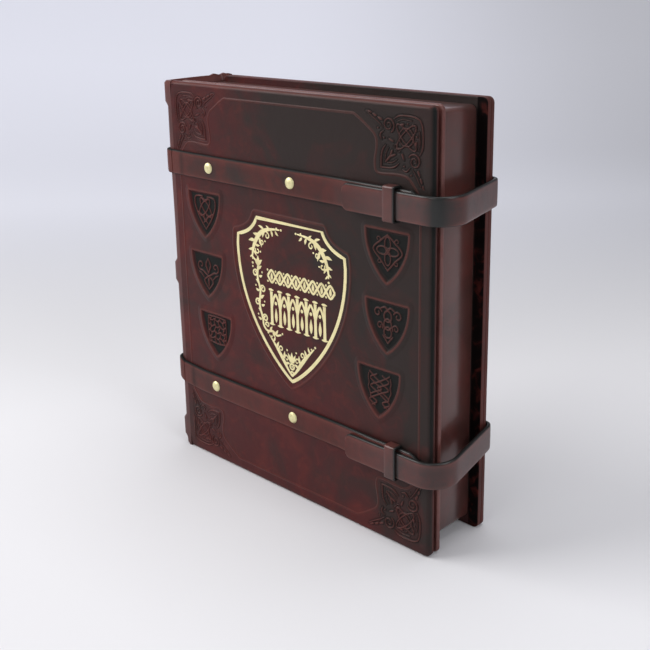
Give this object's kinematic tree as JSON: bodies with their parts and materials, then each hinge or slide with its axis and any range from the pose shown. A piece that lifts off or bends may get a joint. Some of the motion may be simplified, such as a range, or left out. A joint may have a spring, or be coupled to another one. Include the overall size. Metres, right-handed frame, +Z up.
{
  "type": "antique leather book",
  "caption": "Large upright leather-bound book with embossed shield panels, a gold-lined centre shield and two riveted strap closures looped through keepers.",
  "frame": {"origin": "middle of the whole closed part's box at the height of the covers' tail edges, which it stands on", "axes": "+X from the spine to the fore-edge, +Y from the front cover to the back cover, +Z up from tail to head"},
  "size_m": [0.307, 0.0788, 0.33],
  "materials": {
    "cover_leather": "waxed antique leather, oxblood brown with greenish-black hollows, embossed, soft sheen",
    "board_leather": "dark brown leather turned round board, satin",
    "strap_leather": "thick vegetable-tanned strap leather, mottled brown, burnished edges",
    "gold_leaf": "pressed pale gold foil, satin with small worn spots",
    "rivet_brass": "polished brass cap, lightly worn",
    "page_paper": "warm cream page block, matt, fine sheet lines"
  },
  "bodies": {
    "book": {"spine": "cover_leather", "back_cover": "cover_leather", "back_lining": "board_leather", "edge_wall": "board_leather", "page_block": "page_paper", "upper_belt": "strap_leather", "lower_belt": "strap_leather"},
    "front": {"front_cover": "cover_leather", "front_lining": "board_leather", "gold_foil": "gold_leaf", "upper_front_strap": "strap_leather", "lower_front_strap": "strap_leather", "upper_keeper": "strap_leather", "lower_keeper": "strap_leather", "upper_spine_rivet_cap": "rivet_brass", "upper_spine_rivet_post": "rivet_brass", "upper_middle_rivet_cap": "rivet_brass", "upper_middle_rivet_post": "rivet_brass", "lower_spine_rivet_cap": "rivet_brass", "lower_spine_rivet_post": "rivet_brass", "lower_middle_rivet_cap": "rivet_brass", "lower_middle_rivet_post": "rivet_brass"}
  },
  "joints": [
    {"name": "front_cover_hinge", "type": "hinge", "parent": "book", "child": "front", "pos_m": [-0.1406, -0.0334, 0], "axis": [0, 0, -1], "range_deg": [0, 180]}
  ]
}
